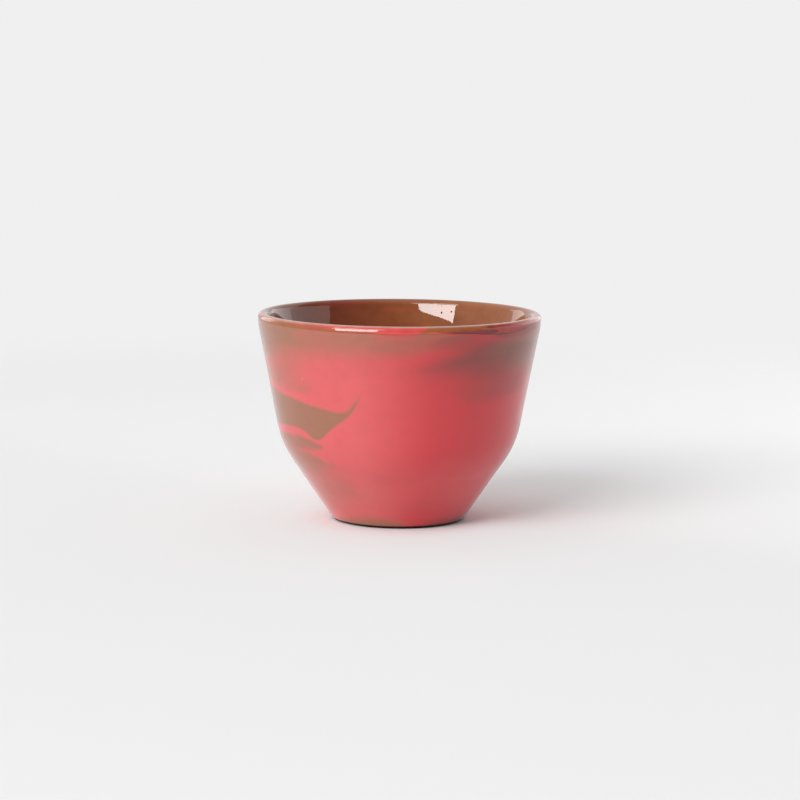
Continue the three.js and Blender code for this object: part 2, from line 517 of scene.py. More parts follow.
OUTSIDE_MARBLING = Marbling(
    ground=Clay.RED,
    # Painted sheen: the ground turns a paler red over the lit left.
    painted_light_clay=Clay.PAINTED_SHEEN_RED,
    painted_light_turn=(
        (-180, 0), (-125, 0.3), (-90, 0.85), (-60, 1.0), (-25, 1.0), (-11, 0.8), (0, 0.5), (9, 0.24),
        (20, 0.05), (40, 0), (180, 0),
    ),
    drift_clay=Clay.SMOKE,
    drift=0.10,
    drift_cloud=Cloud(24.0, 3.0, 0.6, 2.6),
    waver=0.7,
    swirls=(
        # A broad band under the lip, open at the right front
        Swirl(Clay.BROWN, (8.0, 2.0), 0.96, (
            (-180, 55, 76), (-160, 54, 76), (-130, 56, 76), (-105, 54, 76), (-85, 52, 76), (-70, 54, 76),
            (-60, 55.8, 76), (-40, 57.2, 76), (-20, 57.8, 76), (0, 58.6, 76), (10, 59.6, 76),
            (16, 60.6, 76), (22, 62, 76), (28, 63.8, 76), (34, 67, 76), (42, 73, 71), (56, 76, 70),
            (70, 76, 70), (84, 74, 71), (95, 67, 76), (112, 61, 76), (135, 58, 76), (160, 56.5, 76),
            (180, 55, 76),
        )),
        # Its faded hem at the left
        Swirl(Clay.BROWN, (10.0, 8.0), 0.34, (
            (-125, 52, 53), (-100, 45.5, 61), (-80, 45, 61), (-66, 46, 60), (-54, 48.5, 58.5),
            (-44, 51.5, 57), (-34, 54.5, 55.5), (-26, 57, 54),
        )),
        # A smoky cloud at the right, browner at its far end, with a darker heart, and a fainter one under it
        Swirl(Clay.SMOKE, (17.0, 5.0), 0.66, (
            (-4, 56, 51), (4, 54.2, 53), (10, 52.8, 54.4), (15, 51.6, 55.4), (20, 50.6, 56.2),
            (25, 49.6, 57.2), (30, 49, 58.4), (40, 48, 60.4), (50, 47.4, 61.6), (60, 48.4, 62.4),
            (75, 51, 63), (90, 53, 62), (105, 55, 59.5), (115, 56.5, 57),
        )),
        Swirl(Clay.BROWN, (9.0, 5.0), 0.50, (
            (34, 58, 57), (44, 55, 60), (55, 52.5, 62), (66, 51, 63), (80, 50, 63.5), (95, 52, 62),
            (110, 56, 57),
        )),
        Swirl(Clay.SMOKE, (8.0, 4.4), 0.52, (
            (14, 56, 54), (22, 54, 55.6), (30, 52.8, 57.4), (40, 52.0, 59.2), (50, 52, 60), (62, 54, 60),
            (74, 57, 58.4),
        )),
        Swirl(Clay.SMOKE, (3.6, 6.0), 0.30, (
            (24, 44.4, 44), (32, 42.6, 45.6), (40, 42.2, 47), (50, 42.6, 48), (60, 43.8, 48),
            (70, 45.4, 46.6),
        )),
        # A flame that sweeps round from the left and flicks up at its tip
        Swirl(Clay.BROWN, (1.3, 1.3), 0.97, (
            (-128, 40, 40.2), (-115, 36.5, 42.5), (-95, 33, 44), (-75, 31.6, 43.2), (-65, 32.0, 42.5),
            (-56, 32.2, 41.6), (-50, 31.9, 41), (-47, 31.0, 40.7), (-45, 30.1, 40.4), (-42, 29.2, 40.1),
            (-38, 29.6, 39.7), (-35, 31.2, 39.3), (-30, 34, 38.8), (-27, 35.4, 38.7), (-24.2, 36.8, 38.9),
            (-21.5, 38.5, 40), (-19.6, 40.1, 41.3), (-17.5, 42.4, 42.7), (-16, 44.6, 44),
        )),
        # The smear round that tip
        Swirl(Clay.BROWN, (2.6, 2.6), 0.26, (
            (-28, 36, 37), (-24, 36.6, 38.8), (-20, 39.6, 41.6), (-17, 42.8, 44), (-15, 45.2, 45.2),
        )),
        # A soft patch above the flame, over a line of red
        Swirl(Clay.BROWN, (3.0, 8.0), 0.46, (
            (-84, 47, 47.2), (-72, 46, 49.6), (-62, 44.6, 49.8), (-52, 43.8, 49), (-46, 44.0, 47.6),
            (-40, 45.2, 45.8),
        )),
        # Streaks under the flame
        Swirl(Clay.BROWN, (2.4, 1.4), 0.84, (
            (-92, 27, 27.2), (-75, 25.2, 28.8), (-62, 25, 29.2), (-52, 25.2, 29.3), (-46, 25.4, 28.8),
            (-41, 26, 27.8), (-38, 26.8, 27.2),
        )),
        Swirl(Clay.BROWN, (6.0, 2.2), 0.70, (
            (-100, 21, 23.2), (-80, 17.5, 25.4), (-66, 17, 25.2), (-57, 17.6, 24.8), (-50, 18.4, 24.2),
            (-45, 19, 23.4), (-40, 20, 22), (-34, 21, 20.8),
        )),
        # Painted light: paler red low at the right front, where the lower wall looks brighter
        Swirl(Clay.PAINTED_SHEEN_RED, (14.0, 12.0), 0.22, (
            (-20, 6, 8), (-5, 4, 15), (10, 4, 20), (30, 5, 22), (50, 7, 22), (70, 10, 18), (90, 14, 14),
        )),
        # A browner breath low at the left, partly painted shade of the lower wall there, and a stain at the
        # foot
        Swirl(Clay.BROWN, (14.0, 12.0), 0.44, (
            (-100, 8, 12), (-80, 4, 19), (-55, 5, 20), (-38, 7, 18), (-22, 9, 13), (-8, 10, 10),
            (6, 12, 7),
        )),
        Swirl(Clay.BROWN, (1.0, 5.0), 1.0, (
            (-74, -8, -6), (-52, -8, 1.4), (-36, -8, 2.8), (-16, -8, 3.2), (-6, -8, 2.8), (4, -8, 1.4),
            (16, -8, -2), (28, -8, -6),
        )),
        # Painted shade along the foot at the right, where the floor beside it is in shadow
        Swirl(Clay.SMOKE, (1.0, 5.0), 0.75, (
            (4, -8, -4), (14, -8, -0.6), (26, -8, 1.4), (42, -8, 2.4), (60, -8, 2.6), (80, -8, 1.4),
            (98, -8, -4),
        )),
        # A breath of painted sheen and of plain red through the band under the lip at the front
        Swirl(Clay.PAINTED_SHEEN_RED, (4.0, 2.0), 0.22, (
            (-50, 62, 61), (-38, 59.5, 65), (-24, 59, 66), (-12, 59.5, 66), (0, 61, 64), (8, 63, 62),
        )),
        Swirl(Clay.RED, (3.0, 2.0), 0.28, (
            (-12, 62.5, 62), (-4, 60.6, 64.2), (6, 60, 65), (16, 60, 65), (26, 60.6, 64.6),
            (36, 63, 62.4),
        )),
        # A streak out of the cloud
        Swirl(Clay.SMOKE, (2.2, 1.6), 0.22, (
            (6, 52.6, 52.2), (12, 52, 53.4), (18, 52.4, 54), (26, 53.2, 54.9), (38, 54.2, 56.4),
            (46, 56, 56.4),
        )),
        # A dusky veil between the band and the cloud, and its thin end at the front
        Swirl(Clay.SMOKE, (5.0, 3.0), 0.12, (
            (-14, 59, 58.6), (-4, 57, 62), (6, 56, 64), (18, 55.5, 64), (30, 57, 63), (42, 59, 60),
        )),
        Swirl(Clay.SMOKE, (6.0, 2.0), 0.42, (
            (10, 62, 60), (18, 59.6, 62.6), (26, 58.2, 64), (36, 58.6, 64.6), (44, 60, 64),
            (52, 62.5, 62),
        )),
        # The lip at the right front: brown along its top, dark over red below, dusky further right
        Swirl(Clay.BROWN, (0.8, 1.0), 0.90, (
            (4, 65, 64.4), (10, 64.2, 67), (20, 64.1, 67), (30, 64.3, 67), (37, 64.6, 66.6),
            (41, 65.6, 65),
        )),
        Swirl(Clay.RED, (0.6, 0.8), 0.95, (
            (10, 64.6, 64.2), (18, 63.7, 64.4), (26, 63.3, 64.6), (38, 63, 64.7), (42, 63.2, 64.5),
            (44, 64, 63.9),
        )),
        Swirl(Clay.SMOKE, (0.6, 0.8), 0.90, (
            (14, 64.6, 64.2), (20, 63.9, 64.4), (26, 63.5, 64.6), (32, 63.3, 64.7), (38, 63.2, 64.7),
            (41, 63.4, 64.5), (43, 64, 63.9),
        )),
        Swirl(Clay.SMOKE, (1.4, 3.0), 0.52, (
            (36, 66, 65), (44, 61.8, 70), (55, 61.4, 70), (68, 62.4, 70), (84, 64.4, 68), (96, 66, 65),
        )),
        # A red tongue over the lip at the front
        Swirl(Clay.RED, (1.4, 0.9), 0.95, (
            (-54, 66.6, 66.4), (-46, 65.8, 68), (-30, 65.2, 69), (-18, 64.7, 69), (-10, 63.9, 69),
            (0, 63.4, 69), (6, 63.6, 69), (9, 64.6, 68), (12, 66, 65.6),
        )),
        # Swirls round the back
        Swirl(Clay.BROWN, (1.0, 1.0), 0.95, (
            (86, 22, 22.2), (98, 22.5, 27), (112, 25.5, 33), (126, 30, 38), (140, 33, 40.5),
            (154, 33, 38.5), (168, 31, 34.5), (177, 30.4, 31.2),
        )),
        Swirl(Clay.BROWN, (1.4, 5.0), 0.50, (
            (100, 38, 38.2), (115, 40.5, 45), (130, 44, 50), (145, 45, 51), (160, 44, 49),
            (172, 43.5, 45),
        )),
        Swirl(Clay.BROWN, (1.0, 1.2), 0.95, (
            (-176, 41, 41.4), (-168, 38.5, 42.5), (-158, 37, 44), (-148, 38, 46), (-138, 41, 47.5),
            (-128, 45, 48.5), (-120, 48.6, 49),
        )),
        Swirl(Clay.BROWN, (2.2, 1.0), 0.72, (
            (-170, 18, 18.2), (-155, 16, 20.5), (-140, 17, 23), (-125, 20, 25.5), (-112, 24, 26.2),
            (-106, 25.8, 26),
        )),
        Swirl(Clay.BROWN, (2.0, 1.2), 0.60, (
            (96, 12, 12.2), (112, 11, 14.5), (130, 12, 16.5), (148, 14.5, 18), (160, 17, 17.4),
        )),
    ),
)

INSIDE_MARBLING = Marbling(
    ground=Clay.BROWN,
    # Painted shade: the ground turns darker on the inside wall at the back left, where it lies in shade.
    painted_light_clay=Clay.SMOKE,
    painted_light_turn=((-180, 0.25), (-160, 0.5), (-140, 0.62), (-110, 0.5), (-70, 0.2), (-20, 0), (150, 0), (180, 0.25)),
    drift_clay=Clay.SMOKE,
    drift=0.35,
    drift_cloud=Cloud(20.0, 3.0, 0.6, 2.6),
    waver=1.0,
    swirls=(
        # Thin red veins under the lip at the back
        Swirl(Clay.RED, (1.0, 0.8), 0.12, (
            (-166, 64.5, 64.7), (-158, 64.1, 65.2), (-148, 64, 65.3), (-140, 64.5, 64.8),
        )),
        Swirl(Clay.RED, (1.6, 1.6), 0.20, (
            (-180, 62.4, 63.2), (-176, 62.4, 63.4), (-170, 63, 63.2), (-166, 66, 61), (168, 66, 61),
            (172, 62.8, 63), (180, 62.4, 63.2),
        )),
        # Broader red tongues lower down
        Swirl(Clay.RED, (1.2, 2.0), 0.85, (
            (-150, 38, 38.2), (-130, 36, 42), (-110, 35, 44), (-85, 37, 45), (-60, 41, 47), (-40, 45, 48),
            (-26, 48, 48.2),
        )),
        Swirl(Clay.RED, (1.0, 2.4), 0.85, (
            (20, 30, 30.2), (36, 27, 34), (55, 25, 36), (80, 26, 36), (104, 30, 37), (126, 35, 38),
            (140, 38, 38.4),
        )),
        Swirl(Clay.RED, (2.0, 1.2), 0.70, (
            (-70, 18, 18.2), (-48, 15, 21), (-20, 14, 23), (6, 16, 24), (30, 20, 25), (46, 24, 24.4),
        )),
    ),
)


@dataclass(frozen=True)
class Outline:
    """A section line from the axis to the axis, read by the distance gone along it, in millimetres.

    Attributes:
        distance: Distance of each point along the line.
        table: One row for each point: radius, height, and the outward normal's two parts.
    """

    distance: np.ndarray
    table: np.ndarray

    @classmethod
    def through(cls, corners: Sequence[Tuple[float, float, float]], arc_step: float) -> "Outline":
        """Draws the line through corners, each rounded by an arc that meets both its sides.

        An arc's centre lies its radius inside both sides, so the arc meets them radius * tan(turn / 2) from
        the corner, and the normal turns evenly along it.

        Args:
            corners: (radius, height, round) of each corner, with the solid on the left.
            arc_step: Degrees of an arc for each point.

        Returns:
            The line.
        """
        points = np.array([corner[:2] for corner in corners])
        rounds = np.array([corner[2] for corner in corners])
        sides = np.diff(points, axis=0)
        sides /= np.linalg.norm(sides, axis=1)[:, None]
        normals = np.stack([sides[:, 1], -sides[:, 0]], axis=1)
        rows = [np.concatenate([points[:1], normals[:1]], axis=1)]
        for i in range(1, len(points) - 1):
            before, after, normal = sides[i - 1], sides[i], normals[i - 1]
            turn = math.atan2(before[0] * after[1] - before[1] * after[0], float(before @ after))
            radius = math.copysign(rounds[i], turn)
            centre = points[i] - before * rounds[i] * math.tan(abs(turn) / 2) - radius * normal
            angles = np.linspace(0.0, turn, math.ceil(abs(turn) / math.radians(arc_step)) + 1)
            turned = np.stack([
                normal[0] * np.cos(angles) - normal[1] * np.sin(angles),
                normal[0] * np.sin(angles) + normal[1] * np.cos(angles),
            ], axis=1)
            rows.append(np.concatenate([centre + radius * turned, turned], axis=1))
        rows.append(np.concatenate([points[-1:], normals[-1:]], axis=1))
        table = np.concatenate(rows)
        steps = np.linalg.norm(np.diff(table[:, :2], axis=0), axis=1)
        return cls(np.concatenate([[0.0], np.cumsum(steps)]), table)

    def at(self, distance: np.ndarray) -> Tuple[np.ndarray, np.ndarray, np.ndarray, np.ndarray]:
        """The line at some distances.

        Args:
            distance: Distances along the line, in an array of any shape.

        Returns:
            Radius, height, and the two parts of the outward normal, each in an array of that shape.
        """
        r, z, nr, nz = (np.interp(distance, self.distance, column) for column in self.table.T)
        length = np.hypot(nr, nz)
        return r, z, nr / length, nz / length

    def rows(self, start: float, end: float, step: float) -> np.ndarray:
        """Distances for the rows of a mesh: the line's own points, and between them no more than a step.

        Args:
            start: The first distance.
            end: The last distance.
            step: The widest gap between rows.

        Returns:
            The distances, rising.
        """
        between = self.distance[(self.distance > start) & (self.distance < end)]
        marks = np.concatenate([[start], between, [end]])
        counts = np.maximum(1, np.ceil(np.diff(marks) / step))
        places = np.concatenate([[0.0], np.cumsum(counts)])
        return np.interp(np.arange(places[-1] + 1), places, marks)

    @property
    def lip(self) -> float:
        """Distance of the line's highest point."""
        return float(self.distance[np.argmax(self.table[:, 1])])

    @property
    def length(self) -> float:
        """Length of the whole line."""
        return float(self.distance[-1])


@dataclass(frozen=True)
class CupForm:
    """The casting's sizes, in millimetres. The rim's diameter and the height come from the frame.

    Attributes:
        rim_diameter: Over the glazed lip, at its widest.
        height: From the table to the top of the glazed lip.
        coat: Room for the glaze between the clay and those two.
        shoulder_diameter, shoulder_height: Where the lines of the upper and the lower wall cross.
        shoulder_round: Radius of the bend between them, outside.
        foot_diameter: Where the line of the lower wall meets the table.
        foot_edge_lift, foot_edge_round: How far the foot's edge stands off the table, and its radius.
        foot_chamfer: From the foot's diameter in to the ring that the cup stands on.
        foot_ring_width, foot_ring_round: Width of that ring, and the radius of its edges.
        foot_recess, recess_round: Depth of the hollow inside the ring, and the radius of its corner.
        foot_ring_bevel: How far the ring's inner side leans in over that depth.
        wall, floor: Thickness of the clay.
        floor_round: Radius between the inside floor and the wall.
        lip_band, lip_band_round: Height of the upright band under the lip, and the radius of its bend.
        lip_outer_round, lip_inner_round: Radii of the lip.
        arc_step: Degrees of a round for each point.
    """

    rim_diameter: float
    height: float
    coat: float = 0.23
    shoulder_diameter: float = 75.0
    shoulder_height: float = 24.5
    shoulder_round: float = 30.0
    foot_diameter: float = 41.5
    foot_edge_lift: float = 0.6
    foot_edge_round: float = 0.6
    foot_chamfer: float = 2.2
    foot_ring_width: float = 2.3
    foot_ring_round: float = 0.4
    foot_recess: float = 1.2
    foot_ring_bevel: float = 1.6
    recess_round: float = 1.0
    wall: float = 3.6
    floor: float = 4.5
    floor_round: float = 14.0
    lip_band: float = 3.5
    lip_band_round: float = 12.0
    lip_outer_round: float = 1.2
    lip_inner_round: float = 1.7
    arc_step: float = 4.0

    def outline(self) -> Outline:
        """The casting's section line.

        The upper wall is the straight line from the shoulder to the upright band under the lip, and the
        inside runs parallel to the outside, one wall further in.

        Returns:
            The line from the axis under the foot, up the outside, over the lip and down the inside.
        """
        top = self.height - self.coat
        foot = self.foot_diameter / 2
        ring_outer = foot - self.foot_chamfer
        ring_inner = ring_outer - self.foot_ring_width
        shoulder_r, shoulder_z = self.shoulder_diameter / 2, self.shoulder_height
        band_r, band_z = self.rim_diameter / 2 - self.coat, top - self.lip_band
        upper_slope = (band_r - shoulder_r) / (band_z - shoulder_z)
        lower_slope = (shoulder_r - foot) / shoulder_z
        upper_in, lower_in = (self.wall * math.hypot(1.0, slope) for slope in (upper_slope, lower_slope))
        inner_z = shoulder_z + (lower_in - upper_in) / (lower_slope - upper_slope)
        floor_z = self.foot_recess + self.floor
        inner_top_r = shoulder_r + (top - shoulder_z) * upper_slope - upper_in
        inner_shoulder_r = shoulder_r + (inner_z - shoulder_z) * upper_slope - upper_in
        inner_floor_r = shoulder_r + (floor_z - shoulder_z) * lower_slope - lower_in
        return Outline.through([
            (0.0, self.foot_recess, 0.0),
            (ring_inner - self.foot_ring_bevel, self.foot_recess, self.recess_round),
            (ring_inner, 0.0, self.foot_ring_round),
            (ring_outer, 0.0, self.foot_ring_round),
            (foot + self.foot_edge_lift * lower_slope, self.foot_edge_lift, self.foot_edge_round),
            (shoulder_r, shoulder_z, self.shoulder_round),
            (band_r, band_z, self.lip_band_round),
            (band_r, top, self.lip_outer_round),
            (inner_top_r, top, self.lip_inner_round),
            (inner_shoulder_r, inner_z, self.shoulder_round - self.wall),
            (inner_floor_r, floor_z, self.floor_round),
            (0.0, floor_z, 0.0),
        ], self.arc_step)


def turned_rings(radius: np.ndarray, height: np.ndarray, azimuth: np.ndarray) -> np.ndarray:
    """Carries a section round the axis: x = r sin(azimuth), y = -r cos(azimuth).

    Args:
        radius: Radius of each row at each azimuth.
        height: Height of each row at each azimuth.
        azimuth: The azimuths, in radians.

    Returns:
        The points, by row and azimuth.
    """
    return np.stack([radius * np.sin(azimuth), -radius * np.cos(azimuth), height], axis=2)


def smooth_piece(name: str, points: np.ndarray, faces: Sequence[Sequence[int]]) -> bpy.types.Object:
    """Makes a smooth mesh object at the origin.

    Args:
        name: The object's name.
        points: Its points, in metres.
        faces: The numbers of each face's points.

    Returns:
        The object.
    """
    mesh = bpy.data.meshes.new(name)
    mesh.from_pydata(points.tolist(), [], faces)
    mesh.polygons.foreach_set("use_smooth", np.ones(len(mesh.polygons), dtype=bool))
    mesh.update()
    piece = bpy.data.objects.new(name, mesh)
    bpy.context.collection.objects.link(piece)
    return piece


def closed_piece(name: str, rings: np.ndarray) -> bpy.types.Object:
    """Makes a turned piece from its rings. The first and the last lie on the axis and become a point each.

    Args:
        name: The piece's name.
        rings: Points in millimetres, by row and azimuth, going outwards under the piece and in over it.

    Returns:
        The piece.
    """
    rows, turns = rings.shape[0] - 2, rings.shape[1]
    points = np.concatenate([rings[:1, 0], rings[1:-1].reshape(-1, 3), rings[-1:, 0]]) * MM
    index = 1 + np.arange(rows * turns).reshape(rows, turns)
    onward = np.roll(index, -1, axis=1)
    start, end = np.zeros_like(index[0]), np.full_like(index[0], rows * turns + 1)
    quads = np.stack([index[:-1], onward[:-1], onward[1:], index[1:]], axis=2).reshape(-1, 4)
    fans = np.concatenate([
        np.stack([start, onward[0], index[0]], axis=1),
        np.stack([index[-1], onward[-1], end], axis=1),
    ])
    return smooth_piece(name, points, fans.tolist() + quads.tolist())


@dataclass(frozen=True)
class SatinClay:
    """Fired, rubbed and unglazed marbled clay. Lengths are in millimetres.

    Attributes:
        clays: Colours of the clays.
        dark_grain, pale_grain: Colours of the flecks in them.
        mottle, mottle_ease, mottle_share: Dark clouds in the clay, where they fade in, and how strongly.
        grain, grain_ease, grain_share: The same for its fine grain.
        pale_flecks, pale_share, dark_flecks, dark_share: Its flecks, and how strong they are.
        grain_relief, fleck_relief: Heights of the grain and of the pale flecks.
        painted_gap_shade: Painted shade in the gap under the foot's edge, dark and matt.
        painted_gap_shade_rise: Heights at which that painted shade begins and is complete, downwards.
        painted_gap_shade_reach: Distances from the axis at which it begins and is complete, outwards.
        roughness, roughness_stray: Of the rubbed surface, and how far mottle and grain change it.
        ior, sheen, sheen_roughness: Of its soft gloss.
    """

    clays: ClayColours = ClayColours(
        red=(0.60, 0.026, 0.036, 1.0),
        # painted sheen: the paler red that the lit side shows
        painted_sheen_red=(0.67, 0.100, 0.105, 1.0),
        brown=(0.315, 0.132, 0.076, 1.0),
        smoke=(0.185, 0.044, 0.034, 1.0),
    )
    dark_grain: Colour = (0.16, 0.045, 0.035, 1.0)
    pale_grain: Colour = (0.80, 0.46, 0.40, 1.0)
    mottle: Cloud = Cloud(5.0, 3.0)
    mottle_ease: Ease = (0.45, 0.75)
    mottle_share: float = 0.07
    grain: Cloud = Cloud(0.35)
    grain_ease: Ease = (0.55, 0.80)
    grain_share: float = 0.08
    pale_flecks: Specks = Specks(6.0, 0.28, 0.05)
    pale_share: float = 0.45
    dark_flecks: Specks = Specks(4.4, 0.20, 0.03)
    dark_share: float = 0.60
    grain_relief: float = 0.0012
    fleck_relief: float = 0.05
    painted_gap_shade: Colour = (0.085, 0.022, 0.014, 1.0)
    painted_gap_shade_rise: Ease = (1.15, 0.7475)
    painted_gap_shade_reach: Ease = (18.1, 18.5)
    roughness: float = 0.18
    roughness_stray: float = 0.04
    ior: float = 1.6
    sheen: float = 0.35
    sheen_roughness: float = 0.3

    def material(self) -> bpy.types.Material:
        """Builds the material: the marbling, mottled and flecked, softly glossy, and matt painted shade under
        the foot.

        Returns:
            The material.
        """
        surface = Surface("satin_marbled_clay")
        mottle, grain = self.mottle.over(surface), self.grain.over(surface)
        pale, dark = self.pale_flecks.over(surface), self.dark_flecks.over(surface)
        colour = OUTSIDE_MARBLING.paint(surface, self.clays)
        for share, grain_colour in (
            (self.mottle_share * surface.smooth(mottle, *self.mottle_ease), self.dark_grain),
            (self.grain_share * surface.smooth(grain, *self.grain_ease), self.dark_grain),
            (self.pale_share * pale, self.pale_grain),
            (self.dark_share * dark, self.dark_grain),
        ):
            colour = surface.blend(share, colour, grain_colour)
        rubbed = surface.principled({
            "Base Color": colour,
            "Roughness": self.roughness + self.roughness_stray * (mottle + grain - 1.0),
            "IOR": self.ior,
            "Sheen Weight": self.sheen,
            "Sheen Roughness": self.sheen_roughness,
            "Normal": surface.bump(self.grain_relief * grain + self.fleck_relief * pale),
        })
        # Painted shade: the dark gap under the foot's edge, matt so that it reflects nothing.
        painted_shade_face = surface.principled({
            "Base Color": self.painted_gap_shade,
            "Roughness": 1.0,
            "Specular IOR Level": 0.0,
        })
        low = surface.smooth(surface.z, *self.painted_gap_shade_rise)
        under = low * surface.smooth(surface.radius, *self.painted_gap_shade_reach)
        return surface.finished(surface.mixed(under, rubbed, painted_shade_face))


@dataclass(frozen=True)
class Pinhole:
    """A pinhole in the glaze.

    Attributes:
        azimuth: Of its middle, in degrees.
        away: Distance of its middle from the axis, in millimetres.
        height: Of its middle, in millimetres.
        size: Its radius, in millimetres.
        core: The share of its radius within which it is full.
    """

    azimuth: float
    away: float
    height: float
    size: float
    core: float = 0.5

    def over(self, surface: Surface) -> Value:
        """The pinhole in a surface: an ease by the distance from its middle.

        Args:
            surface: The surface.

        Returns:
            1 in the middle of the pinhole, 0 outside it.
        """
        turn = math.radians(self.azimuth)
        middle = Vector((self.away * math.sin(turn), -self.away * math.cos(turn), self.height)) * MM
        ends = {"Vector": surface.point, "Vector_001": middle}
        gap = surface.node("ShaderNodeVectorMath", {"operation": "DISTANCE"}, ends).outputs["Value"]
        return surface.smooth(Value(surface, gap) / MM, self.size, self.core * self.size)


@dataclass(frozen=True)
class ClearGlaze:
    """Clear gloss glaze that shows the marbling under it darker and wetter. Lengths are in millimetres.

    Attributes:
        crown_radius, crown_height: Of the top of the lip.
        clays: Colours of the clays under the glaze.
        over_ease: Where the inside's marbling gives way to the outside's, counted from the crown's radius.
        crown, crown_highlight_share: Pale colour over the top of the lip, partly where the glaze breaks
            thinly and partly a painted highlight along the crown, and how strong it is.
        crown_highlight_depth, crown_highlight_lean: How far down that colour reaches, and how much
            less at the right and more at the lit left.
        crown_highlight_core: The share of that depth within which it is full.
        pool: Dark colour in the glaze's clouds and pinholes, and along the glaze line.
            line_ease, line_share: Where the darker band along the glaze line ends and is full, as shares of
                its width,
            and how strong it is.
        mottle, mottle_ease, mottle_share: Pooled clouds, where they fade in, and how strong they are.
        ripple, ripple_relief: Ripples of the face, and their height.
        pinpricks, pinholes: Its small and its larger pinholes.
        pinhole_share, pinhole_depth, pinhole_roughness: Of both kinds.
        roughness, rough_ease, rough_share: Of the face, and where and how far the mottle adds to it.
        ior: Of the glaze.
        LINE: The mesh attribute that gives the distance from the glaze line, in widths of the darker band
            there.
    """

    LINE: ClassVar[str] = "distance_from_glaze_line"

    crown_radius: float
    crown_height: float
    clays: ClayColours = ClayColours(
        red=(0.67, 0.070, 0.064, 1.0),
        # painted sheen: the paler red of the lit side, under the glaze
        painted_sheen_red=(0.64, 0.060, 0.054, 1.0),
        brown=(0.325, 0.100, 0.027, 1.0),
        smoke=(0.150, 0.010, 0.003, 1.0),
    )
    over_ease: Ease = (-0.6, 0.5)
    crown: Colour = (0.55, 0.28, 0.24, 1.0)
    crown_highlight_share: float = 0.75
    crown_highlight_depth: float = 0.55
    crown_highlight_lean: float = 0.25
    crown_highlight_core: float = 0.15
    pool: Colour = (0.10, 0.008, 0.004, 1.0)
    line_ease: Ease = (0.24, 0.12)
    line_share: float = 0.80
    mottle: Cloud = Cloud(4.0, 3.0)
    mottle_ease: Ease = (0.40, 0.75)
    mottle_share: float = 0.20
    ripple: Cloud = Cloud(3.2, 1.0)
    ripple_relief: float = 0.003
    pinpricks: Specks = Specks(3.6, 0.22, 0.10)
    pinholes: Tuple[Pinhole, ...] = (
        Pinhole(160.0, 40.6, 61.95, 0.40),
        Pinhole(155.2, 40.7, 62.5, 0.34),
        Pinhole(162.0, 41.0, 64.2, 0.22),
        Pinhole(160.4, 41.0, 64.3, 0.24),
        Pinhole(159.0, 41.0, 64.25, 0.20),
    )
    pinhole_share: float = 0.70
    pinhole_depth: float = 0.03
    pinhole_roughness: float = 0.7
    roughness: float = 0.02
    rough_ease: Ease = (0.5, 0.9)
    rough_share: float = 0.03
    ior: float = 1.58

    def material(self) -> bpy.types.Material:
        """Builds the material: the wet marbling under a gloss face with faint ripples and pinholes.

        Returns:
            The material.
        """
        surface = Surface("clear_gloss_glaze")
        radius = surface.radius
        over = surface.smooth(radius, *(self.crown_radius + away for away in self.over_ease))
        # Painted highlight along the crown of the lip, broader at the lit left, over the glaze breaking
        # thinly there.
        depth = (self.crown_height - surface.z) / (self.crown_highlight_depth - self.crown_highlight_lean * surface.x / radius)
        crown_highlight = over * surface.smooth(depth, 1.0, self.crown_highlight_core)
        line = surface.node("ShaderNodeAttribute", {"attribute_name": self.LINE}).outputs["Fac"]
        rim = surface.smooth(Value(surface, line), *self.line_ease)
        mottle = self.mottle.over(surface)
        pinhole = self.pinpricks.over(surface)
        for hole in self.pinholes:
            pinhole = surface.math("MAXIMUM", pinhole, hole.over(surface))
        inside = INSIDE_MARBLING.paint(surface, self.clays)
        outside = OUTSIDE_MARBLING.paint(surface, self.clays)
        colour = surface.blend(over, inside, outside)
        for share, glaze_colour in (
            (self.crown_highlight_share * crown_highlight, self.crown),
            (self.line_share * rim, self.pool),
            (self.mottle_share * surface.smooth(mottle, *self.mottle_ease), self.pool),
            (self.pinhole_share * pinhole, self.pool),
        ):
            colour = surface.blend(share, colour, glaze_colour)
        rough = self.rough_share * surface.smooth(mottle, *self.rough_ease) + self.pinhole_roughness * pinhole
        relief = self.ripple_relief * self.ripple.over(surface) - self.pinhole_depth * pinhole
        return surface.finished(surface.principled({
            "Base Color": colour,
            "Roughness": self.roughness + rough,
            "IOR": self.ior,
            "Normal": surface.bump(relief),
        }))


